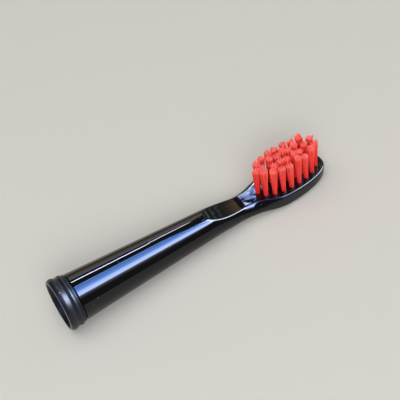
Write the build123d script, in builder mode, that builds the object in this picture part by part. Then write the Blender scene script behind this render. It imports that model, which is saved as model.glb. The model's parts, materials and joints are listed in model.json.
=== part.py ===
# Electric toothbrush head, lying on its back with the bristles up.
# The long axis runs from the open base at -X to the tip at +X. It dips towards the tip, so that the
# base ring and the back of the brush plate both touch Z = 0.
# Distances along the axis are measured from the rim of the base, heights and radii from the axis.
import os
from math import atan2, cos, hypot, radians, sin, tan

from build123d import *

# Base ring: a lead-in at the mouth, two rounded ridges, a fine line and a narrow flange
ring_length = 4.6
ring_bore_radius = 6.05
ring_rim_radius = 6.85
ring_mouth_radius = 6.5
ring_mouth_depth = 1.2
ridge_radius = 7.2
ridge_at = 1.2
groove_radius = 6.78
groove_at = 2.45
back_ridge_radius = 6.98
back_ridge_at = 3.3
line_radius = 6.75
line_at = 3.8
flange_radius = 6.6

# Barrel: a hollow cone with a spigot that the ring is pressed over
barrel_length = 48.3
barrel_radius = 6.5
barrel_wall = 1.5
barrel_gap = 0.12
barrel_edge = 0.15
spigot_length = 2.6
spigot_clearance = 0.03
cavity_spare = 4.0

# Neck: the front is scooped down from the barrel to the flat of the brush plate
neck_radius = 3.62
neck_lead_in = 8.8
neck_run_out = 4.0
scoop_length = 10.0
scoop_run = 12.5
scoop_lead = 4.0
scoop_overrun = 0.15

# Brush plate: from the neck it flares to its widest and ends in a round nose
flare_length = 13.8
nose_length = 13.4
plate_half_width = 5.62
plate_squareness = 6.0
nose_squareness = 2.4
nose_lift = 1.1
tip_thickness = 3.5
front_height = 1.5
front_crown = 0.45
rim_round = 0.55

# Bristle field
ring_tufts = 17
tuft_radius = 0.75
tuft_flare = 0.18
tuft_crown = 0.3
tuft_gap = 0.06
tuft_height = 8.7
tuft_rise = 0.3
tuft_step = 0.7
tuft_hole_clearance = 0.03
tuft_hole_depth = 2.3
field_length = 18.0
field_tip_margin = 2.2
field_side_margin = 2.1
row_spread = 2.3

# Tuft anchors: flat strips across the bottoms of the tuft holes
anchor_thickness = 0.3
anchor_height = 1.2
anchor_bite = 0.12
anchor_clearance = 0.02

# Drive insert: a taper plug with flutes, and a bore that is round at its mouth and keyed inside
insert_at = 9.0
insert_length = 20.0
insert_clearance = 0.04
flute_count = 4
flute_radius = 1.0
flute_depth = 0.8
bore_radius = 2.0
bore_floor = 3.0
bore_lead_in = 0.4
round_bore_depth = 8.0
keyed_bore_radius = 1.5
key_flat = 1.1

# Shaft spring: a bowed leaf with flat ends in a groove of the keyed bore
spring_width = 1.6
spring_thickness = 0.25
spring_bow = 0.3
spring_foot = 1.0
spring_clearance = 0.03

# Places along the axis
barrel_at = ring_length + barrel_gap
neck_at = barrel_at + barrel_length
plate_widest_at = neck_at + flare_length
head_length = plate_widest_at + nose_length
scoop_at = neck_at - scoop_length
neck_start = neck_at - neck_lead_in
neck_end = neck_at + neck_run_out
cone_end = scoop_at - scoop_lead
insert_end = insert_at + insert_length
cavity_end = insert_end + cavity_spare
spigot_at = ring_length - spigot_length
key_at = insert_at + round_bore_depth
bore_end = insert_end - bore_floor

# The axis dips so that the ridge of the ring and the back of the tip stand on one plane
dip = atan2(ridge_radius - tip_thickness + front_height, head_length - ridge_at)
rim_reach = ring_rim_radius * sin(dip)
tip_reach = head_length * cos(dip) + front_height * sin(dip)
axis_height = ridge_radius * cos(dip) + ridge_at * sin(dip)
rim_center = Vector((rim_reach - tip_reach) / 2, 0, axis_height)
along = Vector(cos(dip), 0, -sin(dip))
upward = Vector(sin(dip), 0, cos(dip))
axis = Axis(rim_center, along)

# Looking at the head from its side: X runs along the axis and Y is the height above it
side = Plane(rim_center, x_dir=along, z_dir=(0, -1, 0))
# Looking along the axis: X runs across the head and Y is the height above the axis
across = Plane(rim_center, x_dir=(0, 1, 0), z_dir=along)
# Looking down on the flat front of the plate: X runs along the axis and Y across the head
front = Plane(rim_center, x_dir=along, z_dir=upward).offset(front_height)


def ease(start, end, at):
    """Smooth share of the way from start to end, level at both."""
    share = min(max((at - start) / (end - start), 0), 1)
    return share * share * (3 - 2 * share)


def cone_radius(at):
    """Radius of the barrel's straight cone, also beyond the barrel itself."""
    return barrel_radius + (neck_radius - barrel_radius) * (at - barrel_at) / barrel_length


def cavity_radius(at):
    """Radius of the hollow, which keeps one wall thickness inside the cone."""
    return cone_radius(at) - barrel_wall


def half_width(at):
    """Half of the width in plan: the cone, the flare into the plate, then the round nose."""
    if at <= neck_at:
        return cone_radius(at)
    if at <= plate_widest_at:
        return neck_radius + (plate_half_width - neck_radius) * ease(neck_at, plate_widest_at, at)
    nose = (at - plate_widest_at) / nose_length
    return plate_half_width * (1 - nose**nose_squareness) ** (1 / nose_squareness)


def back_depth(at):
    """Depth of the back below the axis: the cone, then the straight back that the head lies on."""
    settled = ease(neck_start, neck_end, at)
    straight = ridge_radius - (at - ridge_at) * tan(dip)
    nose = max(at - plate_widest_at, 0) / nose_length
    return cone_radius(at) * (1 - settled) + straight * settled - nose_lift * nose**4


def top_height(at):
    """Height of the body above the axis before its front is cut flat."""
    settled = ease(neck_start, neck_end, at)
    return cone_radius(at) * (1 - settled) + (front_height + front_crown) * settled


def section_curve(at, inset=0.0):
    """Superellipse round one section: a circle on the barrel, nearly a slab on the plate."""
    squareness = 2 + (plate_squareness - 2) * ease(neck_at, plate_widest_at, at) ** 3
    middle = (top_height(at) - back_depth(at)) / 2
    half_height = (top_height(at) + back_depth(at)) / 2
    points = []
    for turn in range(0, 360, 15):
        x = cos(radians(turn))
        y = sin(radians(turn))
        reach = (abs(x) ** squareness + abs(y) ** squareness) ** (-1 / squareness)
        points.append(((half_width(at) - inset) * reach * x, middle + (half_height - inset) * reach * y))
    return points


# Sections of the neck and plate, evenly spaced to the widest place and then closer round the nose
neck_steps = 12
neck_stations = [cone_end + (plate_widest_at - cone_end) * step / neck_steps for step in range(neck_steps)]
nose_turns = (0, 10, 20, 30, 40, 50, 60, 70, 78, 84, 87)
nose_stations = [plate_widest_at + nose_length * sin(radians(turn)) for turn in nose_turns]

# Bristle field: a ring of tufts round an ellipse, then tufts inside it wherever a full pitch is free
tuft_top_radius = tuft_radius + tuft_flare
tuft_hole_radius = tuft_radius + tuft_hole_clearance
tuft_pitch = 2 * tuft_top_radius + tuft_gap
field_end = head_length - field_tip_margin
field_start = field_end - field_length
field_middle = field_end - field_length / 2
field_half_width = plate_half_width - field_side_margin
field_edge = Edge.make_ellipse(field_length / 2, field_half_width, Plane((field_middle, 0), x_dir=(-1, 0, 0)))
tuft_places = []
for number in range(ring_tufts):
    place = field_edge.position_at(number / ring_tufts)
    tuft_places.append((place.X, place.Y))
row_steps = int(2 * field_length / tuft_pitch)
for row in (-0.5, 0.5, 0):
    for step in range(row_steps):
        x = field_start + field_length * step / row_steps
        y = row * row_spread
        inside = hypot((x - field_middle) / (field_length / 2), y / field_half_width) < 1
        if inside and all(hypot(x - other[0], y - other[1]) >= tuft_pitch for other in tuft_places):
            tuft_places.append((x, y))

os.makedirs("parts", exist_ok=True)

# Tuft sockets: the blind holes for the tufts, each with a slot at its bottom for the anchor
slot_length = 2 * (tuft_hole_radius + anchor_bite + anchor_clearance)
with BuildPart() as tuft_sockets:
    with BuildSketch(front.offset(-tuft_hole_depth)):
        with Locations(*tuft_places):
            Circle(tuft_hole_radius)
    extrude(amount=tuft_hole_depth + front_crown)
    with BuildSketch(front.offset(anchor_height - tuft_hole_depth)):
        with Locations(*tuft_places):
            Rectangle(slot_length, anchor_thickness + 2 * anchor_clearance)
    extrude(amount=-anchor_height)

# Head moulding: a coned barrel and a lofted neck and plate, cut flat in front and hollow from the base
with BuildPart() as head_moulding:
    for station, inset in ((barrel_at, barrel_edge), (barrel_at + barrel_edge, 0), (cone_end, 0)):
        with BuildSketch(across.offset(station)):
            with BuildLine():
                Spline(*section_curve(station, inset), periodic=True)
            make_face()
    loft(ruled=True)
    for station in neck_stations + nose_stations:
        with BuildSketch(across.offset(station)):
            with BuildLine():
                Spline(*section_curve(station), periodic=True)
            make_face()
    loft()
    # The scoop: an arc that comes down from the barrel and runs level into the flat front
    scoop_lip = (scoop_at, cone_radius(scoop_at) + scoop_overrun)
    scoop_foot = (scoop_at + scoop_run, front_height)
    clear_end = 2 * head_length
    with BuildSketch(side):
        with BuildLine():
            TangentArc(scoop_foot, scoop_lip, tangent=(-1, 0))
            Polyline(
                scoop_lip,
                (scoop_at, clear_end),
                (clear_end, clear_end),
                (clear_end, front_height),
                scoop_foot,
            )
        make_face()
    extrude(amount=2 * plate_half_width, both=True, mode=Mode.SUBTRACT)
    flat_front = head_moulding.faces().filter_by(Axis(rim_center, upward))[0]
    scoop = head_moulding.faces().filter_by(GeomType.CYLINDER)[0]
    rim_edges = flat_front.edges() + scoop.edges()
    fillet(rim_edges.filter_by(Axis.Y, reverse=True), rim_round)
    # The spigot starts inside the ring and runs back into the barrel's wall
    with BuildSketch(across.offset(spigot_at)):
        Circle(ring_bore_radius - spigot_clearance)
    extrude(amount=barrel_at + barrel_wall - spigot_at)
    with BuildSketch(side):
        with BuildLine():
            Polyline(
                (spigot_at, 0),
                (spigot_at, cavity_radius(barrel_at)),
                (barrel_at, cavity_radius(barrel_at)),
                (cavity_end, cavity_radius(cavity_end)),
                (cavity_end, 0),
                close=True,
            )
        make_face()
    revolve(axis=axis, mode=Mode.SUBTRACT)
    add(tuft_sockets.part, mode=Mode.SUBTRACT)
head_moulding.part.label = "head_moulding"
export_step(head_moulding.part, "parts/head_moulding.step")

# Base ring: a turned profile with rolling ridges and a wide lead-in at its mouth
ridge = (ridge_at, ridge_radius)
groove = (groove_at, groove_radius)
back_ridge = (back_ridge_at, back_ridge_radius)
with BuildPart() as base_ring:
    with BuildSketch(side):
        with BuildLine():
            TangentArc(ridge, (0, ring_rim_radius), tangent=(-1, 0))
            for near, far in ((ridge, groove), (groove, back_ridge)):
                between = ((near[0] + far[0]) / 2, (near[1] + far[1]) / 2)
                TangentArc(near, between, tangent=(1, 0))
                TangentArc(far, between, tangent=(-1, 0))
            TangentArc(back_ridge, (line_at, line_radius), tangent=(1, 0))
            Polyline(
                (line_at, line_radius),
                (line_at, flange_radius),
                (ring_length, flange_radius),
                (ring_length, ring_bore_radius),
                (ring_mouth_depth, ring_bore_radius),
                (0, ring_mouth_radius),
                (0, ring_rim_radius),
            )
        make_face()
    revolve(axis=axis)
base_ring.part.label = "base_ring"
export_step(base_ring.part, "parts/base_ring.step")

# Drive insert: the plug fills the barrel's taper, and the handle's shaft goes into its bore
groove_floor = keyed_bore_radius + spring_thickness
with BuildPart() as drive_insert:
    with BuildSketch(side):
        with BuildLine():
            Polyline(
                (insert_at, 0),
                (insert_at, cavity_radius(insert_at) - insert_clearance),
                (insert_end, cavity_radius(insert_end) - insert_clearance),
                (insert_end, 0),
                close=True,
            )
        make_face()
    revolve(axis=axis)
    with BuildSketch(across.offset(insert_at)):
        Circle(bore_radius)
    extrude(amount=round_bore_depth, mode=Mode.SUBTRACT)
    chamfer(drive_insert.edges().group_by(axis)[0].sort_by(SortBy.LENGTH)[0], bore_lead_in)
    with BuildSketch(across.offset(key_at)):
        Circle(keyed_bore_radius)
        with Locations((0, key_flat)):
            Rectangle(2 * bore_radius, bore_radius, align=(Align.CENTER, Align.MIN), mode=Mode.SUBTRACT)
        Rectangle(spring_width + 2 * spring_clearance, groove_floor, align=(Align.CENTER, Align.MAX))
    extrude(amount=bore_end - key_at, mode=Mode.SUBTRACT)
    flute_middle = cavity_radius(insert_at) - insert_clearance + flute_radius - flute_depth
    with BuildSketch(across.offset(insert_at)):
        with PolarLocations(flute_middle, flute_count, start_angle=180 / flute_count):
            Circle(flute_radius)
    extrude(amount=insert_length, mode=Mode.SUBTRACT)
drive_insert.part.label = "drive_insert"
export_step(drive_insert.part, "parts/drive_insert.step")

# Shaft spring: one bent strip, flat at both ends on the groove's floor and bowed into the bore between
spring_start = key_at + spring_clearance
spring_end = bore_end - spring_clearance
spring_middle = (spring_start + spring_end) / 2
with BuildPart() as shaft_spring:
    with BuildSketch(side):
        with BuildLine():
            for level in (-groove_floor, -keyed_bore_radius):
                Line((spring_start, level), (spring_start + spring_foot, level))
                ThreePointArc(
                    (spring_start + spring_foot, level),
                    (spring_middle, level + spring_bow),
                    (spring_end - spring_foot, level),
                )
                Line((spring_end - spring_foot, level), (spring_end, level))
            Line((spring_start, -groove_floor), (spring_start, -keyed_bore_radius))
            Line((spring_end, -groove_floor), (spring_end, -keyed_bore_radius))
        make_face()
    extrude(amount=spring_width / 2, both=True)
shaft_spring.part.label = "shaft_spring"
export_step(shaft_spring.part, "parts/shaft_spring.step")

# Tuft anchors: one strip on the floor of each tuft hole, pressed into both sides of the hole
with BuildPart() as tuft_anchors:
    with BuildSketch(front.offset(-tuft_hole_depth)):
        with Locations(*tuft_places):
            Rectangle(2 * (tuft_hole_radius + anchor_bite), anchor_thickness)
    extrude(amount=anchor_height)
tuft_anchors.part.label = "tuft_anchors"
export_step(tuft_anchors.part, "parts/tuft_anchors.step")

# Tufts: round bundles that stand on their anchors, flare upwards and end in a low crown
tuft_seat = anchor_height - tuft_hole_depth
for number, (x, y) in enumerate(tuft_places):
    root = front.from_local_coords(Vector(x, y, 0))
    # The tufts of the ring step up and down alike on both sides of the head
    step_up = tuft_step * (min(number, abs(ring_tufts - number)) % 2)
    height = tuft_height + tuft_rise * (x - field_start) / field_length + step_up
    with BuildPart() as tuft:
        with BuildSketch(Plane(root, x_dir=along, z_dir=(0, -1, 0))):
            with BuildLine():
                Polyline(
                    (0, height),
                    (0, tuft_seat),
                    (tuft_radius, tuft_seat),
                    (tuft_radius, 0),
                    (tuft_top_radius, height - tuft_crown),
                )
                TangentArc((0, height), (tuft_top_radius, height - tuft_crown), tangent=(1, 0))
            make_face()
        revolve(axis=Axis(root, upward))
    name = f"tuft_{number + 1:02d}"
    tuft.part.label = name
    export_step(tuft.part, f"parts/{name}.step")
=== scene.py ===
import json
from math import cos, pi, radians, sin, tan

import bmesh
import bpy
import numpy as np
from mathutils import Matrix, Vector


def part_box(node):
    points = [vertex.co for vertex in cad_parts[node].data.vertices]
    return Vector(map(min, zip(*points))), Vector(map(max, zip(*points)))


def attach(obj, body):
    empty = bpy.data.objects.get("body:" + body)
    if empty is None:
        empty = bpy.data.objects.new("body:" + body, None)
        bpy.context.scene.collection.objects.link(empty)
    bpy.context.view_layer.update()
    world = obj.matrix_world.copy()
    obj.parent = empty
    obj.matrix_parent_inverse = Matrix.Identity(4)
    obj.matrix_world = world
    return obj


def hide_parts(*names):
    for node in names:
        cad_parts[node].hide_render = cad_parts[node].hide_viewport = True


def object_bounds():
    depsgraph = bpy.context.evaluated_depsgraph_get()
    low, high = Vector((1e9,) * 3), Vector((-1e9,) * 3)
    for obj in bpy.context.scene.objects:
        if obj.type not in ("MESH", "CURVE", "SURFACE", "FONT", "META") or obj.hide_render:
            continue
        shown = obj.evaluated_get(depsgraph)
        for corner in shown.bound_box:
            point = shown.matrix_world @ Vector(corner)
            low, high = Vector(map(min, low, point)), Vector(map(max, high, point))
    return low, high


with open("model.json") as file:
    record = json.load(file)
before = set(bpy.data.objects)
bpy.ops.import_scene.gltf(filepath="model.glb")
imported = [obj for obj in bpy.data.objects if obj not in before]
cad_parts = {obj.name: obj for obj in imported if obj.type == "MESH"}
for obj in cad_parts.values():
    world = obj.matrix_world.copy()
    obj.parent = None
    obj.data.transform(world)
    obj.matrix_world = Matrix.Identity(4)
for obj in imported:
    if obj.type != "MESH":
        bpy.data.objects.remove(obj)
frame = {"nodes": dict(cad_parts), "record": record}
cad_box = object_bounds()

# Head moulding
# One piece of ABS, injection moulded in a polished tool: a hollow coned barrel, a scooped neck and an oval
# brush plate with a flat front. Everything else on the head is pressed into it or over it.
MM = 0.001
mounts = {mount["name"]: mount for mount in frame["record"]["mounts"]}
along = -np.array(mounts["shaft_bore"]["axis"])
across = np.array([0.0, 1.0, 0.0])
upward = np.cross(along, across)
dip = np.arctan2(-along[2], along[0])
rim_outer, rim_inner = 6.85, 6.5
rim_center = np.array(mounts["base_rim"]["pos_m"]) - MM * (rim_outer + rim_inner) / 2 * upward

ridge_at, ridge_radius = 1.2, 7.2
barrel_at, barrel_length, barrel_radius, barrel_wall, barrel_edge = 4.72, 48.3, 6.5, 1.5, 0.25
spigot_at, spigot_radius, cavity_end = 2.0, 6.02, 33.0
neck_at, neck_radius = barrel_at + barrel_length, 3.62
neck_start, neck_end = neck_at - 8.8, neck_at + 4.0
widest_at, plate_half_width, nose_length = neck_at + 13.8, 5.62, 13.4
nose_power, lift_power = 2.4, 4
neck_square, plate_square = 2, 6
front_height, front_crown, nose_lift, rim_round = 1.5, 0.45, 1.1, 0.6
scoop_at, scoop_run, scoop_overrun = neck_at - 10.0, 12.5, 0.15


def place(at, wide, high):
    """Point in metres: at mm along the axis from the rim, wide mm across it and high mm above it."""
    at, wide, high = np.broadcast_arrays(at, wide, high)
    return rim_center + MM * (at[..., None] * along + wide[..., None] * across + high[..., None] * upward)


def ease(start, end, at):
    """Share of the way from start to end, 3s^2 - 2s^3, level at both ends."""
    share = np.clip((at - start) / (end - start), 0, 1)
    return share * share * (3 - 2 * share)


def cone_radius(at):
    """Straight cone from the barrel's radius to the neck's."""
    return barrel_radius + (neck_radius - barrel_radius) * (at - barrel_at) / barrel_length


def body_section(at):
    """Half width, middle height, half height and squareness of the body's section at a station.
    The cone goes over into a slab: flared in plan, its back straight to the tip, its nose a superellipse."""
    settled = ease(neck_start, neck_end, at)
    nose = np.clip((at - widest_at) / nose_length, 0, 1)
    flare = neck_radius + (plate_half_width - neck_radius) * ease(neck_at, widest_at, at)
    wide = np.where(at < neck_at, cone_radius(at), flare) * (1 - nose**nose_power) ** (1 / nose_power)
    back = cone_radius(at) * (1 - settled) + (ridge_radius - (at - ridge_at) * tan(dip)) * settled
    back = back - nose_lift * nose**lift_power
    top = cone_radius(at) * (1 - settled) + (front_height + front_crown) * settled
    square = neck_square + (plate_square - neck_square) * ease(neck_at, widest_at, at) ** 3
    return wide, (top - back) / 2, (top + back) / 2, square


def body_point(at, turn):
    """(at, wide, high) of the body where its section is met at an angle of turn.
    The section is |y|^n + |z|^n = 1, scaled to its half width and half height."""
    wide, middle, half, square = body_section(at)
    reach = (np.abs(np.cos(turn)) ** square + np.abs(np.sin(turn)) ** square) ** (-1 / square)
    side, height = wide * reach * np.cos(turn), middle + half * reach * np.sin(turn)
    return np.stack(np.broadcast_arrays(at, side, height))


scoop_foot = scoop_at + scoop_run
scoop_rise = cone_radius(scoop_at) + scoop_overrun - front_height
scoop_radius = (scoop_run**2 + scoop_rise**2) / (2 * scoop_rise)


def front_cut(at):
    """Height of the front: an arc that comes down from the barrel, then the flat of the plate."""
    before_foot = np.clip(scoop_foot - at, 0, scoop_run)
    return front_height + scoop_radius - np.sqrt(scoop_radius**2 - before_foot**2)


# Stations from the lip of the scoop, where the front cut leaves the body, to the tip of the nose: closer
# together over a short run behind the lip and towards the tip
lip_run, lip_steps, neck_steps, nose_steps = 3.0, 24, 56, 48
search = np.linspace(scoop_at, scoop_foot, 400)
_, search_middle, search_half, _ = body_section(search)
lip_at = np.interp(0, search_middle + search_half - front_cut(search), search)
stations = np.concatenate(
    [
        lip_at + lip_run * np.linspace(0, 1, lip_steps) ** 2,
        np.linspace(lip_at + lip_run, widest_at, neck_steps)[1:],
        widest_at + nose_length * np.sin(np.linspace(0, pi / 2, nose_steps))[1:],
    ]
)
_, middle, half, square = body_section(stations)
level = np.clip((front_cut(stations) - middle) / half, -1, 1)
cut_turn = np.arctan2(level, (1 - np.abs(level) ** square) ** (1 / square))

# The rim between body and front: a point on the body, the sharp corner and a point on the front, joined by a
# quadratic curve. Both outer points stand off square to the corner's line, on their own surface, as far as
# the rounding reaches: its radius times the tangent of half the angle between the two surfaces.
nudge, least_spacing = 1e-4, 0.2
corner = body_point(stations, cut_turn)
by_turn = (body_point(stations, cut_turn + nudge) - corner) / nudge
by_at = (corner - body_point(stations - nudge, cut_turn)) / nudge
spacing = np.linalg.norm(by_turn, axis=0)
body_normal = np.cross(by_turn, by_at, axis=0)
front_slope = (front_cut(stations + nudge) - front_cut(stations - nudge)) / (2 * nudge)
front_normal = np.stack([-front_slope, 0 * stations, 0 * stations + 1])
body_normal = body_normal / np.linalg.norm(body_normal, axis=0)
front_normal = front_normal / np.linalg.norm(front_normal, axis=0)
between = (body_normal * front_normal).sum(0)
setback = rim_round * np.tan(np.arccos(np.clip(between, 0, 1)) / 2)
setback[-2:] = setback[-3]
run, fall = np.gradient(stations), spacing * np.gradient(cut_turn)
steep = np.hypot(run, fall)
off_along, off_turn = fall / steep, -run / steep
off_along[0], off_turn[0] = -1, 0
off_along[-1], off_turn[-1] = 0, -1
wall_at = stations + setback * off_along
wall_turn = cut_turn + setback * off_turn / np.maximum(spacing, least_spacing)
wall_turn[0] = pi / 2
corner[2] = front_cut(stations)
corner[1, 0] = 0

# Direction of the corner's line in plan, carried on over the middle at the tip and at the lip, where the line
# runs across
turn_x = np.gradient(np.concatenate([corner[0], corner[0, -2::-1]]))[: len(stations)]
turn_y = np.gradient(np.concatenate([corner[1], -corner[1, -2::-1]]))[: len(stations)]
lip_y = np.gradient(np.concatenate([-corner[1, :0:-1], corner[1]]))[len(stations) - 1]
turn_x[0], turn_y[0] = 0, lip_y
length = np.hypot(turn_x, turn_y)
front_at = stations + setback * turn_y / length
front_wide = np.maximum(corner[1] - setback * turn_x / length, 0)
front_wide[[0, -1]] = 0
front_edge = np.stack([front_at, front_wide, front_cut(front_at)])

# One half of the plate and neck, from the middle of the back up the side, round the rim and in to the middle
side_steps, rim_steps, front_steps, shift_power = 72, 7, 11, 6
rise = np.linspace(0, 1, side_steps)
side_turn = -pi / 2 + (wall_turn[:, None] + pi / 2) * rise
side_at = stations[:, None] + (wall_at - stations)[:, None] * rise**shift_power
side = body_point(side_at, side_turn)
side[1, :, 0] = 0
side[1, 0, -1] = 0
bend = np.linspace(0, 1, rim_steps)[1:]
rim = (
    (1 - bend) ** 2 * side[:, :, -1:]
    + 2 * bend * (1 - bend) * corner[:, :, None]
    + bend**2 * front_edge[:, :, None]
)
inward = np.linspace(1, 0, front_steps)[1:]
edge_at, edge_wide, edge_high = front_edge[:, :, None]
flat = np.stack(np.broadcast_arrays(edge_at, edge_wide * inward, edge_high))
half_plate = np.concatenate([side, rim, flat], axis=2)
mirrored = half_plate[:, :, -2:0:-1] * np.array([1, -1, 1])[:, None, None]
plate_grid = place(*np.concatenate([half_plate, mirrored], axis=2))

# Barrel and hollow as rings, from the end of the hollow out over the spigot and up to the lip of the scoop
ring_turn = np.concatenate([side_turn[0], pi - side_turn[0, -2:0:-1]])
ring_lip = np.concatenate([side_at[0], side_at[0, -2:0:-1]])
cavity_mouth, barrel_steps = barrel_radius - barrel_wall, 16
hollow = [
    (cavity_end, 0.0),
    (cavity_end, cone_radius(cavity_end) - barrel_wall),
    (barrel_at, cavity_mouth),
    (spigot_at, cavity_mouth),
    (spigot_at, spigot_radius),
    (barrel_at, spigot_radius),
    (barrel_at, barrel_radius - barrel_edge),
    (barrel_at + barrel_edge, cone_radius(barrel_at + barrel_edge)),
]
hollow_at, hollow_radius = np.array(hollow).T[:, :, None]
hollow_grid = place(hollow_at, hollow_radius * np.cos(ring_turn), hollow_radius * np.sin(ring_turn))
barrel_run = np.linspace(0, 1, barrel_steps)[:, None]
ring_at = barrel_at + barrel_edge + (ring_lip - barrel_at - barrel_edge) * barrel_run
barrel_grid = place(*body_point(ring_at, np.broadcast_to(ring_turn, ring_at.shape)))
merge_mm, sliver_mm, sharp_angle = 0.002, 0.001, radians(35)


def closed_rings(rows, columns, first=0):
    """Faces of a grid whose columns run round and meet.
    Vertex (row, column) is number first + row * columns + column."""
    row, column = np.meshgrid(np.arange(rows - 1), np.arange(columns), indexing="ij")
    here, there = first + row * columns, first + (row + 1) * columns
    beside = (column + 1) % columns
    return np.stack([here + column, here + beside, there + beside, there + column], axis=-1).reshape(-1, 4)


def skin(name, grids):
    """One smooth mesh object from grids of rings: doubles merged, faces turned outwards, hard edges kept."""
    points, faces, first = [], [], 0
    for grid in grids:
        points.append(grid.reshape(-1, 3))
        faces.append(closed_rings(grid.shape[0], grid.shape[1], first))
        first += grid.shape[0] * grid.shape[1]
    mesh = bpy.data.meshes.new(name)
    mesh.from_pydata(np.concatenate(points).tolist(), [], np.concatenate(faces).tolist())
    shape = bmesh.new()
    shape.from_mesh(mesh)
    bmesh.ops.remove_doubles(shape, verts=shape.verts, dist=merge_mm * MM)
    bmesh.ops.dissolve_degenerate(shape, edges=shape.edges, dist=sliver_mm * MM)
    bmesh.ops.recalc_face_normals(shape, faces=shape.faces)
    shape.to_mesh(mesh)
    shape.free()
    mesh.shade_smooth()
    mesh.set_sharp_from_angle(angle=sharp_angle)
    piece = bpy.data.objects.new(name, mesh)
    bpy.context.scene.collection.objects.link(piece)
    return piece


def linear(hex_colour, alpha=1.0):
    """sRGB hex to the linear colour that the shaders take."""
    parts = np.array([int(hex_colour[i : i + 2], 16) for i in (1, 3, 5)]) / 255
    return (*np.where(parts < 0.04045, parts / 12.92, ((parts + 0.055) / 1.055) ** 2.4), alpha)


def node(tree, kind, inputs=None, **settings):
    """Adds a node, sets its properties, and fills each named or numbered input with a value or a link."""
    made = tree.nodes.new(kind)
    for key, value in settings.items():
        setattr(made, key, value)
    for key, value in (inputs or {}).items():
        if isinstance(value, bpy.types.NodeSocket):
            tree.links.new(value, made.inputs[key])
        else:
            made.inputs[key].default_value = value
    return made


def finish_of(name):
    """A new material with its Principled shader: (material, node tree, shader)."""
    material = bpy.data.materials.new(name)
    material.use_nodes = True
    return material, material.node_tree, material.node_tree.nodes["Principled BSDF"]


# Polished black ABS: a deep gloss with a faint moulded waviness, flow marks on the front, and a little dust,
# more of it on the front. The flow marks start a little past the lip of the scoop, where the front faces up.
# The IOR is a little under the usual 1.5, so that the sides stay as dark as they look on the object.
gloss_black, tree, shader = finish_of("polished_black_abs")
coords = node(tree, "ShaderNodeTexCoord")
where = coords.outputs["Object"]
wave_mm, speck_mm, scuff_mm, flow_mm = 6.0, 0.9, 2.5, 2.4
wave_depth_mm, flow_depth_mm, most_flow = 0.05, 0.06, 0.4
flow_starts_mm, flow_full_mm, tilted, upright = 1.5, 4.0, 0.8, 0.93
speck_rim, speck_core, clean_side, clean_front = 0.13, 0.07, 0.95, 0.86
gloss_least, gloss_most = 0.03, 0.07
wave = node(tree, "ShaderNodeTexNoise", {"Vector": where, "Scale": 1 / (wave_mm * MM), "Detail": 2.0})
speck = node(tree, "ShaderNodeTexVoronoi", {"Vector": where, "Scale": 1 / (speck_mm * MM)})
speck_mask = node(tree, "ShaderNodeMapRange", {0: speck.outputs["Distance"], 1: speck_rim, 2: speck_core})
speck_pick = node(tree, "ShaderNodeSeparateColor", {0: speck.outputs["Color"]})
from_base = node(tree, "ShaderNodeVectorMath", {0: where, 1: along.tolist()}, operation="DOT_PRODUCT")
rim_along = float(rim_center @ along)
flow_starts = rim_along + MM * (scoop_at + flow_starts_mm)
flow_full = rim_along + MM * (scoop_at + flow_full_mm)
past_lip = node(tree, "ShaderNodeMapRange", {0: from_base.outputs["Value"], 1: flow_starts, 2: flow_full})
facing = node(
    tree,
    "ShaderNodeVectorMath",
    {0: coords.outputs["Normal"], 1: upward.tolist()},
    operation="DOT_PRODUCT",
)
facing_up = node(
    tree, "ShaderNodeMapRange", {0: facing.outputs["Value"], 1: tilted, 2: upright, 4: most_flow}
)
on_front = node(
    tree, "ShaderNodeMath", {0: past_lip.outputs[0], 1: facing_up.outputs[0]}, operation="MULTIPLY"
)
speck_share = node(
    tree, "ShaderNodeMapRange", {0: on_front.outputs[0], 2: most_flow, 3: clean_side, 4: clean_front}
)
speck_some = node(
    tree,
    "ShaderNodeMath",
    {0: speck_pick.outputs["Red"], 1: speck_share.outputs[0]},
    operation="GREATER_THAN",
)
dust = node(
    tree, "ShaderNodeMath", {0: speck_mask.outputs[0], 1: speck_some.outputs[0]}, operation="MULTIPLY"
)
scuff = node(tree, "ShaderNodeTexNoise", {"Vector": where, "Scale": 1 / (scuff_mm * MM), "Detail": 3.0})
tone = node(
    tree,
    "ShaderNodeMix",
    {0: dust.outputs[0], 6: linear("#0b0b0e"), 7: linear("#8d8a86")},
    data_type="RGBA",
)
gloss = node(
    tree, "ShaderNodeMapRange", {0: scuff.outputs["Fac"], 1: 0.35, 2: 0.75, 3: gloss_least, 4: gloss_most}
)
relief = node(
    tree, "ShaderNodeBump", {"Height": wave.outputs["Fac"], "Strength": 0.3, "Distance": wave_depth_mm * MM}
)
flow = node(tree, "ShaderNodeTexNoise", {"Vector": where, "Scale": 1 / (flow_mm * MM), "Detail": 1.5})
front_relief = node(
    tree,
    "ShaderNodeBump",
    {
        "Height": flow.outputs["Fac"],
        "Strength": on_front.outputs[0],
        "Distance": flow_depth_mm * MM,
        "Normal": relief.outputs["Normal"],
    },
)
tree.links.new(tone.outputs[2], shader.inputs["Base Color"])
tree.links.new(gloss.outputs[0], shader.inputs["Roughness"])
tree.links.new(front_relief.outputs["Normal"], shader.inputs["Normal"])
shader.inputs["IOR"].default_value = 1.42

head_moulding = skin("moulded_head", [hollow_grid, barrel_grid, plate_grid])
head_moulding.data.materials.append(gloss_black)
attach(head_moulding, "root")
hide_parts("head_moulding")

# Drive insert and shaft spring
# A glass-filled nylon plug pressed into the barrel's taper, and the bright steel leaf in its keyed bore.
# They show only through the open base, so the CAD shapes stay and take their finish here.


def dress(name, material):
    """Gives a CAD node its finish in place of the plain one."""
    slots = frame["nodes"][name].data.materials
    slots.clear()
    slots.append(material)


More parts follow.
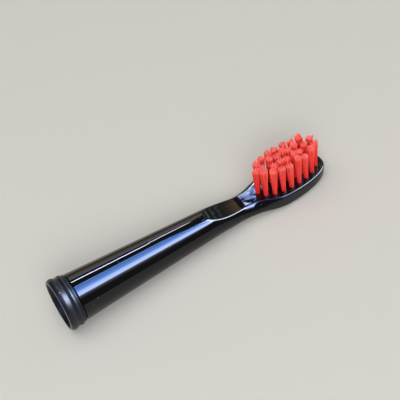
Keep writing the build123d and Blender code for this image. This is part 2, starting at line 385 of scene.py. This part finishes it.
# Glass-filled nylon: a dull dark surface with a mottled grain from the moulding, drawn coarse enough to show
insert_nylon, tree, shader = finish_of("moulded_dark_nylon")
where = node(tree, "ShaderNodeTexCoord").outputs["Object"]
grain_mm, grain_depth_mm = 0.35, 0.02
grain = node(tree, "ShaderNodeTexNoise", {"Vector": where, "Scale": 1 / (grain_mm * MM), "Detail": 3.0})
tone = node(
    tree,
    "ShaderNodeMix",
    {0: grain.outputs["Fac"], 6: linear("#26262a"), 7: linear("#3a3a3f")},
    data_type="RGBA",
)
relief = node(
    tree, "ShaderNodeBump", {"Height": grain.outputs["Fac"], "Strength": 0.2, "Distance": grain_depth_mm * MM}
)
tree.links.new(tone.outputs[2], shader.inputs["Base Color"])
tree.links.new(relief.outputs["Normal"], shader.inputs["Normal"])
shader.inputs["Roughness"].default_value = 0.5
dress("drive_insert", insert_nylon)

# Rolled strip steel: bright, with fine lines along the strip from the rolls, drawn coarse enough to show
spring_steel, tree, shader = finish_of("rolled_spring_steel")
where = node(tree, "ShaderNodeTexCoord").outputs["Object"]
rolling_mm, stretched, bright, dull = 0.12, 0.05, 0.22, 0.4
stretch = node(tree, "ShaderNodeMapping", {"Vector": where, "Scale": (stretched, 1.0, 1.0)})
rolling = node(
    tree, "ShaderNodeTexNoise", {"Vector": stretch.outputs[0], "Scale": 1 / (rolling_mm * MM), "Detail": 2.0}
)
sheen = node(tree, "ShaderNodeMapRange", {0: rolling.outputs["Fac"], 1: 0.3, 2: 0.7, 3: bright, 4: dull})
tree.links.new(sheen.outputs[0], shader.inputs["Roughness"])
shader.inputs["Base Color"].default_value = linear("#c9cacc")
shader.inputs["Metallic"].default_value = 1.0
dress("shaft_spring", spring_steel)

# Base ring
# A separate ring of satin dark plastic pressed over the barrel's spigot: a bevelled mouth, two rolling ridges
# with a groove between them, a fine line, and a narrow flange beside the gap to the barrel.
ring_length, ring_bore_radius, mouth_depth = 4.6, 6.05, 1.2
groove_at, groove_radius = 2.45, 6.78
back_ridge_at, back_ridge_radius = 3.3, 6.98
line_at, line_radius, line_floor, flange_radius = 3.8, 6.75, 6.3, 6.6


def ring_profile(at):
    """Outer radius of the ring: a parabola up to the front ridge, a smooth step down into the groove,
    one up to the back ridge, and a parabola down to the fine line."""
    front = ridge_radius - (ridge_radius - rim_outer) * ((ridge_at - at) / ridge_at) ** 2
    down = ridge_radius + (groove_radius - ridge_radius) * ease(ridge_at, groove_at, at)
    up = groove_radius + (back_ridge_radius - groove_radius) * ease(groove_at, back_ridge_at, at)
    share = (at - back_ridge_at) / (line_at - back_ridge_at)
    back = back_ridge_radius - (back_ridge_radius - line_radius) * share**2
    return np.select([at < ridge_at, at < groove_at, at < back_ridge_at], [front, down, up], back)


edge, line_wall, line_width, line_span = 0.06, 0.04, 0.22, 0.25
flange_edge, flange_edge_depth = 0.12, 0.2
profile_steps, ring_steps = 44, 160
outer_at = np.linspace(edge, line_at, profile_steps)
ring_sides = np.concatenate(
    [
        np.stack([outer_at, ring_profile(outer_at)], axis=1),
        [(line_at + line_wall, line_floor), (line_at + line_width, line_floor)],
        [(line_at + line_span, flange_radius)],
        [(ring_length - flange_edge, flange_radius), (ring_length, flange_radius - flange_edge_depth)],
        [(ring_length, ring_bore_radius), (mouth_depth, ring_bore_radius)],
        [(edge, rim_inner - edge / 3), (0, rim_inner + edge / 2), (0, rim_outer - edge)],
        [(edge, ring_profile(np.array(edge)))],
    ]
)
ring_angles = np.linspace(0, 2 * pi, ring_steps, endpoint=False)
ring_grid = place(
    ring_sides[:, :1], ring_sides[:, 1:] * np.cos(ring_angles), ring_sides[:, 1:] * np.sin(ring_angles)
)
base_ring = skin("satin_base_ring", [ring_grid])

# Satin black plastic: a spark-eroded grain, drawn coarse enough to show, spreads the light, with a few pale
# specks of lint. The edge of the mouth is smoother, and painted paler: a painted highlight along the rim,
# partly wear from the handle. The IOR is low here too.
satin_black, tree, shader = finish_of("spark_grained_black_plastic")
where = node(tree, "ShaderNodeTexCoord").outputs["Object"]
grain_mm, grain_depth_mm, lint_mm, rim_edge_starts_mm, rim_edge_full_mm = 0.3, 0.015, 1.6, 0.14, 0.04
lint_rim, lint_core, lint_free = 0.13, 0.08, 0.84
satin_least, satin_most, rim_edge_gloss = 0.33, 0.41, 0.16
grain = node(tree, "ShaderNodeTexNoise", {"Vector": where, "Scale": 1 / (grain_mm * MM), "Detail": 2.0})
lint = node(tree, "ShaderNodeTexVoronoi", {"Vector": where, "Scale": 1 / (lint_mm * MM)})
lint_mask = node(tree, "ShaderNodeMapRange", {0: lint.outputs["Distance"], 1: lint_rim, 2: lint_core})
lint_pick = node(tree, "ShaderNodeSeparateColor", {0: lint.outputs["Color"]})
lint_some = node(
    tree, "ShaderNodeMath", {0: lint_pick.outputs["Green"], 1: lint_free}, operation="GREATER_THAN"
)
lint_spot = node(
    tree, "ShaderNodeMath", {0: lint_mask.outputs[0], 1: lint_some.outputs[0]}, operation="MULTIPLY"
)
from_rim = node(tree, "ShaderNodeVectorMath", {0: where, 1: along.tolist()}, operation="DOT_PRODUCT")
rim_edge_starts, rim_edge_full = rim_along + MM * rim_edge_starts_mm, rim_along + MM * rim_edge_full_mm
rim_highlight_and_wear = node(tree, "ShaderNodeMapRange", {0: from_rim.outputs["Value"], 1: rim_edge_starts, 2: rim_edge_full})
# Painted highlight: the mouth's edge is painted pale grey, partly as wear from the handle
dark_tone = node(
    tree,
    "ShaderNodeMix",
    {0: rim_highlight_and_wear.outputs[0], 6: linear("#13161d"), 7: linear("#77787a")},
    data_type="RGBA",
)
tone = node(
    tree,
    "ShaderNodeMix",
    {0: lint_spot.outputs[0], 6: dark_tone.outputs[2], 7: linear("#b9b7b2")},
    data_type="RGBA",
)
satin = node(
    tree, "ShaderNodeMapRange", {0: grain.outputs["Fac"], 1: 0.3, 2: 0.7, 3: satin_least, 4: satin_most}
)
sheen = node(tree, "ShaderNodeMix", {0: rim_highlight_and_wear.outputs[0], 2: satin.outputs[0], 3: rim_edge_gloss})
relief = node(
    tree,
    "ShaderNodeBump",
    {"Height": grain.outputs["Fac"], "Strength": 0.25, "Distance": grain_depth_mm * MM},
)
tree.links.new(tone.outputs[2], shader.inputs["Base Color"])
tree.links.new(sheen.outputs[0], shader.inputs["Roughness"])
tree.links.new(relief.outputs["Normal"], shader.inputs["Normal"])
shader.inputs["IOR"].default_value = 1.4
base_ring.data.materials.append(satin_black)
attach(base_ring, "root")
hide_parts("base_ring")

# Tuft anchors
# Small strips of brass pressed across the bottoms of the tuft holes, where each tuft is folded round one.
# Nothing shows of them once the tufts are in, so the CAD shapes stay.
#
# Rolled brass: a plain yellow metal that tarnishes in patches
anchor_brass, tree, shader = finish_of("rolled_brass_strip")
where = node(tree, "ShaderNodeTexCoord").outputs["Object"]
tarnish_mm = 0.6
tarnish = node(tree, "ShaderNodeTexNoise", {"Vector": where, "Scale": 1 / (tarnish_mm * MM), "Detail": 2.0})
tone = node(
    tree,
    "ShaderNodeMix",
    {0: tarnish.outputs["Fac"], 6: linear("#d9b76a"), 7: linear("#b8924a")},
    data_type="RGBA",
)
tree.links.new(tone.outputs[2], shader.inputs["Base Color"])
shader.inputs["Metallic"].default_value = 1.0
shader.inputs["Roughness"].default_value = 0.32
dress("tuft_anchors", anchor_brass)

# Bristle tufts
# Bundles of red nylon filament, folded at the anchor, so each tuft is a round brush of cut and rounded ends.
# They are tight in their holes, spread a little upwards, and no two lie quite alike. The filaments are drawn
# a little thicker and fewer than real ones, so that they show singly.
tuft_radius, tuft_waist, tuft_top_radius, tuft_seat, tuft_crown = 0.75, 0.62, 1.04, 1.1, 0.05
filament_mm, filament_count, filament_sides, filament_tip = 0.23, 72, 6, 0.03
filament_tall, filament_taper = 10.9, np.array([1, 1, 1, 1, 1, 0.62])
filament_levels = np.array([0.75, 3.5, 6.5, 9.0, 10.2, filament_tall]) / filament_tall
tuft_lean, tuft_slant, tuft_wider, tuft_narrower = 0.16, 0.15, 0.08, 0.06
stray_mm, strayed_above, stray_gain = 0.1, 0.94, 3.5
wisp_mm, wisp_power, trim_mm = 0.7, 16, 0.28
first_seed = 11
golden_turn = pi * (3 - 5**0.5)
tuft_names = sorted(name for name in frame["nodes"] if name.startswith("tuft_") and name != "tuft_anchors")


def tuft_axis(name):
    """Foot of a tuft on its anchor and its length in millimetres, both from the box of its CAD solid,
    which stands along upward."""
    low, high = (np.array(corner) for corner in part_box(name))
    reach = MM * tuft_radius
    foot = np.array([low[0] + reach * cos(dip), (low[1] + high[1]) / 2, low[2] + reach * sin(dip)])
    return foot, (high[2] - foot[2]) / cos(dip) / MM


def filaments(name, chance):
    """Tubes on a sunflower spiral: radius grows as the square root of the count, and each tube leans out with
    height. A tuft leans and its cut slants a little, some tubes stray, and a few stand up as wisps.
    Returns the points, the faces, the share of the height and one random shade for each point."""
    foot, tall = tuft_axis(name)
    count = np.arange(filament_count)
    share = np.sqrt((count + 0.5) / filament_count)
    angle = count * golden_turn + chance.uniform(0, 2 * pi)
    room = tuft_waist - filament_mm / 2
    spread = tuft_top_radius - filament_mm / 2 + chance.uniform(-tuft_narrower, tuft_wider)
    lean = chance.normal(0, tuft_lean, 2)
    stray = chance.normal(0, stray_mm, (2, filament_count))
    stray[:, chance.uniform(0, 1, filament_count) > strayed_above] *= stray_gain
    slant = chance.normal(0, tuft_slant, 2)
    tilt = share * (slant[0] * np.cos(angle) + slant[1] * np.sin(angle))
    wisp = wisp_mm * chance.uniform(0, 1, filament_count) ** wisp_power
    trim = chance.uniform(0, trim_mm, filament_count)
    height = (tall - tuft_crown * share**2 + tilt + wisp - trim)[:, None] * filament_levels
    open_out = np.clip((height - tuft_seat) / (tall - tuft_seat), 0, None)
    radius = (room + (spread - room) * open_out) * share[:, None]
    x = radius * np.cos(angle)[:, None] + (lean[0] + stray[0][:, None]) * open_out**2
    y = radius * np.sin(angle)[:, None] + (lean[1] + stray[1][:, None]) * open_out**2
    thick = filament_mm / 2 * filament_taper
    around = np.linspace(0, 2 * pi, filament_sides, endpoint=False)
    ring_x = x[..., None] + thick[None, :, None] * np.cos(around)
    ring_y = y[..., None] + thick[None, :, None] * np.sin(around)
    ring_z = np.broadcast_to(height[..., None], ring_x.shape)
    tip = np.stack([x[:, -1], y[:, -1], height[:, -1] + filament_tip], axis=1)
    rings = np.stack([ring_x, ring_y, ring_z], axis=-1).reshape(filament_count, -1, 3)
    local = np.concatenate([rings, tip[:, None]], axis=1)
    each = local.shape[1]
    tube = closed_rings(len(filament_levels), filament_sides)
    last = (len(filament_levels) - 1) * filament_sides
    here = np.arange(filament_sides)
    beside = (here + 1) % filament_sides
    cap = np.stack([last + here, last + beside, np.full(filament_sides, each - 1)], axis=1)
    starts = each * count[:, None, None]
    faces = (starts + tube).reshape(-1, 4).tolist() + (starts + cap).reshape(-1, 3).tolist()
    local = local.reshape(-1, 3)
    points = foot + MM * (local[:, :1] * along + local[:, 1:2] * across + local[:, 2:] * upward)
    shade = np.repeat(chance.uniform(0, 1, filament_count), each)
    return points, faces, local[:, 2] / tall, shade


def fill_ramp(ramp, colours):
    """Sets the stops of a colour ramp from (share, hex) pairs in rising order."""
    stops = ramp.color_ramp.elements
    stops[0].position, stops[0].color = colours[0][0], linear(colours[0][1])
    stops[1].position, stops[1].color = colours[-1][0], linear(colours[-1][1])
    for position, colour in colours[1:-1]:
        stops.new(position).color = linear(colour)


# Dyed red nylon with a little glow through it. Its colour is graded by height: deeper red low down, a painted
# shade between the filaments, and paler at the ground tips, a painted highlight.
reds_with_painted_light = [(0.1, "#fa2418"), (0.6, "#ff3c30"), (0.94, "#ff5042"), (1.0, "#ff7c6a")]
darkest, lightest, glow_mm = 0.95, 1.07, 0.5
bristle_nylon, tree, shader = finish_of("dyed_red_nylon")
rise_value = node(tree, "ShaderNodeAttribute", attribute_name="rise").outputs["Fac"]
shade_value = node(tree, "ShaderNodeAttribute", attribute_name="shade").outputs["Fac"]
# Painted light: the ramp deepens the red towards the roots as shade and pales it at the tips as highlight
painted_light_by_height = node(tree, "ShaderNodeValToRGB", {"Fac": rise_value})
fill_ramp(painted_light_by_height, reds_with_painted_light)
tint = node(tree, "ShaderNodeMapRange", {0: shade_value, 3: darkest, 4: lightest})
tone = node(
    tree,
    "ShaderNodeMix",
    {0: 1.0, 6: painted_light_by_height.outputs["Color"], 7: tint.outputs[0]},
    data_type="RGBA",
    blend_type="MULTIPLY",
)
tree.links.new(tone.outputs[2], shader.inputs["Base Color"])
shader.inputs["Roughness"].default_value = 0.34
shader.inputs["IOR"].default_value = 1.53
shader.inputs["Subsurface Weight"].default_value = 0.1
shader.inputs["Subsurface Radius"].default_value = (1.0, 0.35, 0.25)
shader.inputs["Subsurface Scale"].default_value = glow_mm * MM

for number, name in enumerate(tuft_names):
    chance = np.random.default_rng(number + first_seed)
    points, faces, rise_share, shade = filaments(name, chance)
    mesh = bpy.data.meshes.new("filaments_" + name)
    mesh.from_pydata(points.tolist(), [], faces)
    mesh.attributes.new("rise", "FLOAT", "POINT").data.foreach_set("value", rise_share.astype(np.float32))
    mesh.attributes.new("shade", "FLOAT", "POINT").data.foreach_set("value", shade.astype(np.float32))
    mesh.shade_smooth()
    mesh.materials.append(bristle_nylon)
    tuft = bpy.data.objects.new("filaments_" + name, mesh)
    bpy.context.scene.collection.objects.link(tuft)
    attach(tuft, "root")
    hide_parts(name)

# Floor
# A pale matte sweep that the head lies on. It isn't part of the object.
floor_half = 1.5
floor_corners = floor_half * np.array([(-1, -1, 0), (1, -1, 0), (1, 1, 0), (-1, 1, 0)])
floor_mesh = bpy.data.meshes.new("floor")
floor_mesh.from_pydata(floor_corners.tolist(), [], [(0, 1, 2, 3)])
floor = bpy.data.objects.new("floor", floor_mesh)
bpy.context.scene.collection.objects.link(floor)
floor_paper, tree, shader = finish_of("matte_pale_paper")
shader.inputs["Base Color"].default_value = linear("#d0cec9")
shader.inputs["Roughness"].default_value = 0.9
shader.inputs["Specular IOR Level"].default_value = 0.0
floor_mesh.materials.append(floor_paper)

# Lights
# Softboxes stand round the barrel, as long along the head and as high round it as they need to be. Two plain
# ones light the colours. The others are graded cards that only the gloss shows, as bands and fine lines.
# The surroundings are plain and pale, and dimmer to the gloss, so that black stays deep beside the bands.
head_middle = Vector((cad_box[0] + cad_box[1]) / 2)
light_distance = 0.9


def softbox(name, round_turn, lean, long, high, radiance, colours, on_colour=True, on_gloss=True):
    """Area light that faces the head: round_turn degrees from straight up towards the near side, and lean
    degrees towards the tip. Its power is radiance times its area times pi, and its colours, (share, hex),
    run round from the near edge."""
    lamp = bpy.data.lights.new(name, "AREA")
    lamp.shape = "RECTANGLE"
    lamp.size, lamp.size_y = long, high
    lamp.energy = radiance * long * high * pi
    lamp.use_nodes = True
    share = node(lamp.node_tree, "ShaderNodeNewGeometry").outputs["Parametric"]
    share = node(lamp.node_tree, "ShaderNodeSeparateXYZ", {0: share}).outputs["Y"]
    ramp = node(lamp.node_tree, "ShaderNodeValToRGB", {"Fac": share})
    lamp.node_tree.links.new(ramp.outputs["Color"], lamp.node_tree.nodes["Emission"].inputs["Color"])
    fill_ramp(ramp, colours)
    turn, tip = radians(round_turn), radians(lean)
    toward = Vector((sin(tip), -cos(tip) * sin(turn), cos(tip) * cos(turn)))
    endways = Vector((cos(tip), sin(tip) * sin(turn), -sin(tip) * cos(turn)))
    facing = Matrix([endways, toward.cross(endways), toward]).transposed().to_4x4()
    light = bpy.data.objects.new(name, lamp)
    light.matrix_world = Matrix.Translation(head_middle + light_distance * toward) @ facing
    light.visible_diffuse, light.visible_glossy = on_colour, on_gloss
    bpy.context.scene.collection.objects.link(light)


plain = [(0, "#ffffff"), (1, "#ffffff")]
pale_blues = [(0, "#cfdcff"), (1, "#e4ecff")]
deep_blues = [(0, "#3f58b4"), (1, "#94aeec")]
flat_blues = [(0, "#4a5f96"), (0.25, "#8ba0d6"), (0.45, "#ffffff"), (1, "#ffffff")]
sky_blues = [
    (0, "#191a1e"),
    (0.15, "#33343a"),
    (0.23, "#5e6478"),
    (0.28, "#bacfff"),
    (0.48, "#b0c8ff"),
    (0.58, "#6a94dd"),
    (0.7, "#527fc9"),
    (0.94, "#4067b2"),
    (1, "#86a2d8"),
]
far_browns = [(0, "#b9c2d4"), (0.45, "#7f8798"), (0.6, "#8c7350"), (1, "#6d5638")]
scoop_streaks = [
    (0, "#cdb07e"),
    (0.3, "#5a5140"),
    (0.42, "#2a3430"),
    (0.46, "#6f807d"),
    (0.49, "#1f2827"),
    (0.55, "#1b2527"),
    (0.575, "#839796"),
    (0.6, "#1b2527"),
    (0.66, "#1b2527"),
    (0.69, "#94a9a9"),
    (0.72, "#1b2527"),
    (0.78, "#4f6264"),
    (0.82, "#1b2527"),
    (1, "#1b2527"),
]
softbox("overhead_light", -4, -8, 0.9, 1.1, 1.47, plain, on_gloss=False)
softbox("near_light", 48, -12, 0.7, 0.55, 4.1, plain, on_gloss=False)
softbox("sky_card", 24.5, 17, 0.26, 1.06, 31.9, sky_blues, on_colour=False)
softbox("rim_card", 24, 50, 0.84, 0.5, 37.7, pale_blues, on_colour=False)
softbox("base_card", 12, -28, 0.4, 0.36, 5.98, deep_blues, on_colour=False)
softbox("slim_card", -34.5, 14.7, 0.142, 0.055, 46.8, pale_blues, on_colour=False)
softbox("flat_card", -38.7, 20.3, 0.045, 0.06, 35.1, flat_blues, on_colour=False)
softbox("far_card", -65, 16, 0.3, 0.5, 4.42, far_browns, on_colour=False)
softbox("scoop_card", -51, 42, 0.5, 0.5, 3.9, scoop_streaks, on_colour=False)
surround_level, surround_level_on_gloss = 0.32, 0.1
world = bpy.data.worlds.new("studio")
world.use_nodes = True
surround = world.node_tree.nodes["Background"]
surround.inputs["Color"].default_value = linear("#f2efea")
mirrored_ray = node(world.node_tree, "ShaderNodeLightPath").outputs["Is Glossy Ray"]
strength = node(
    world.node_tree,
    "ShaderNodeMapRange",
    {0: mirrored_ray, 3: surround_level, 4: surround_level_on_gloss},
)
world.node_tree.links.new(strength.outputs[0], surround.inputs["Strength"])
bpy.context.scene.world = world
bpy.context.scene.view_settings.view_transform = "Standard"

# Camera
# It stands high on the near side, a little beyond the base, and looks down across the head, so that base and
# tip lie on a diagonal. Its place, in millimetres, is given along the axis, across it and above it. Its
# heading turns from the axis towards the far side, its pitch is down, and its roll lowers its right side.
focal_pixels, picture_pixels, sensor_mm = 1200, 400, 36
camera_stand = np.array([-32.75, -178.09, 246.08])
heading, pitch, roll = radians(66.86), radians(50.55), radians(10.33)
camera_ahead = np.array([cos(pitch) * cos(heading), cos(pitch) * sin(heading), -sin(pitch)])
level_right = np.array([sin(heading), -cos(heading), 0.0])
camera_right = cos(roll) * level_right + sin(roll) * np.cross(camera_ahead, level_right)
camera_up = np.cross(camera_right, camera_ahead)
axes = np.stack([along, across, upward])
camera_data = bpy.data.cameras.new("camera")
camera_data.sensor_width = sensor_mm
camera_data.lens = sensor_mm * focal_pixels / picture_pixels
camera_data.clip_start = 10 * MM
camera = bpy.data.objects.new("camera", camera_data)
camera_turn = np.stack([camera_right @ axes, camera_up @ axes, -camera_ahead @ axes], axis=1)
camera.matrix_world = Matrix.Translation(place(*camera_stand)) @ Matrix(camera_turn.tolist()).to_4x4()
bpy.context.scene.collection.objects.link(camera)
bpy.context.scene.camera = camera
